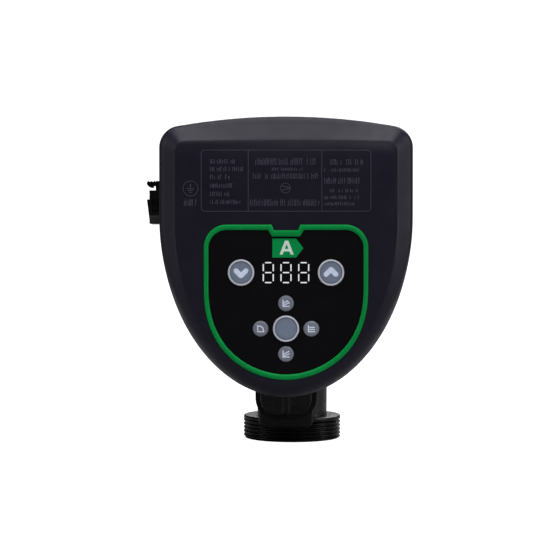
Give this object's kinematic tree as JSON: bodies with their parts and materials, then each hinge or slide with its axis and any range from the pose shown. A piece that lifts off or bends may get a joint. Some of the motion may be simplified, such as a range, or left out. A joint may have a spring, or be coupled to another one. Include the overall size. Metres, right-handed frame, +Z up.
{
  "type": "circulator pump",
  "caption": "Wet-rotor circulator pump for a heating circuit: threaded inline cast housing, ribbed motor pot, and a shield-shaped control head with keys, digit display and mains inlet.",
  "frame": {"origin": "in the plane of the lower port's face, under the middle of the pump's bounding box; the pipe's centre line stands at X = 7.875 mm, Y = 48.94 mm", "axes": "+Z up along the pipe towards the outlet port, -Y towards the person who reads the display, +X to that person's right; the motor's axis is parallel to Y and 3.75 mm to the left of the pipe"},
  "size_m": [0.1452, 0.1628, 0.1872],
  "materials": {
    "cast_iron": "black cathodic dip coat over a fine sand-cast grain, satin",
    "motor_paint": "die-cast aluminium, black powder coat, satin",
    "head_plastic": "moulded, finely textured, dark charcoal with a slight violet cast",
    "panel_film": "near-black matt film",
    "display_window": "near-black window with three white digits lit",
    "trim_green": "satin green",
    "key_plastic": "grey-blue, satin, with a slightly dished face",
    "lamp_lens": "grey-blue translucent lens, unlit",
    "gasket_rubber": "matt",
    "plunger_rubber": "matt",
    "inlet_plastic": "black glass-filled nylon",
    "latch_plastic": "black nylon",
    "switch_plastic": "black",
    "stainless": "drawn stainless sheet",
    "magnet": "dark epoxy coat on a sintered magnet",
    "bearing_ceramic": "ground and polished",
    "graphite": "resin-bonded carbon",
    "impeller_plastic": "glass-filled polymer, off white",
    "lamination": "stacked electrical steel",
    "winding": "enamelled copper wire, modelled as one block for each coil",
    "choke_core": "ferrite ring wound with enamelled copper",
    "motor_screw_steel": "zinc plated",
    "case_screw_steel": "zinc plated",
    "heat_spreader": "bare plate",
    "capacitor_can": "drawn can",
    "circuit_board": "green solder mask with black packages",
    "contact_brass": "stamped blade"
  },
  "bodies": {
    "pump": {"pump_housing": "cast_iron", "motor_housing": "motor_paint", "front_cover": "head_plastic", "rear_case": "head_plastic", "key_panel": "panel_film", "digit_display": "display_window", "trim_ring": "trim_green", "indicator_top": "lamp_lens", "indicator_right": "lamp_lens", "indicator_bottom": "lamp_lens", "indicator_left": "lamp_lens", "flange_gasket": "gasket_rubber", "housing_seal": "gasket_rubber", "case_seal": "gasket_rubber", "inlet_socket": "inlet_plastic", "down_switch": "switch_plastic", "up_switch": "switch_plastic", "mode_switch": "switch_plastic", "wear_ring": "stainless", "bearing_plate": "stainless", "rotor_can": "stainless", "latch_pin": "stainless", "front_bearing": "bearing_ceramic", "rear_bearing": "bearing_ceramic", "stator_core": "lamination", "coil_1": "winding", "coil_2": "winding", "coil_3": "winding", "coil_4": "winding", "coil_5": "winding", "coil_6": "winding", "filter_choke": "choke_core", "motor_screw_1": "motor_screw_steel", "motor_screw_2": "motor_screw_steel", "motor_screw_3": "motor_screw_steel", "motor_screw_4": "motor_screw_steel", "case_screw_1": "case_screw_steel", "case_screw_2": "case_screw_steel", "case_screw_3": "case_screw_steel", "case_screw_4": "case_screw_steel", "heat_spreader": "heat_spreader", "bulk_capacitor": "capacitor_can", "power_board": "circuit_board", "key_board": "circuit_board", "contact_live": "contact_brass", "contact_earth": "contact_brass", "contact_neutral": "contact_brass"},
    "rotor": {"shaft": "bearing_ceramic", "rotor_magnet": "magnet", "rotor_sleeve": "stainless", "thrust_disc": "graphite", "impeller": "impeller_plastic", "impeller_cover": "impeller_plastic"},
    "down_key": {"down_button": "key_plastic", "down_plunger": "plunger_rubber"},
    "up_key": {"up_button": "key_plastic", "up_plunger": "plunger_rubber"},
    "mode_key": {"mode_button": "key_plastic", "mode_plunger": "plunger_rubber"},
    "latch": {"latch_arm": "latch_plastic"}
  },
  "joints": [
    {"name": "rotor_spin", "type": "hinge", "parent": "pump", "child": "rotor", "pos_m": [0.00413, 0.00644, 0.09], "axis": [0, 1, 0], "continuous": true},
    {"name": "down_press", "type": "slide", "parent": "pump", "child": "down_key", "axis": [0, 1, 0], "range_m": [0, 0.00075]},
    {"name": "up_press", "type": "slide", "parent": "pump", "child": "up_key", "axis": [0, 1, 0], "range_m": [0, 0.00075]},
    {"name": "mode_press", "type": "slide", "parent": "pump", "child": "mode_key", "axis": [0, 1, 0], "range_m": [0, 0.00075]},
    {"name": "latch_swing", "type": "hinge", "parent": "pump", "child": "latch", "pos_m": [-0.06638, -0.04356, 0.15175], "axis": [0, 1, 0], "range_deg": [0, 50]}
  ]
}
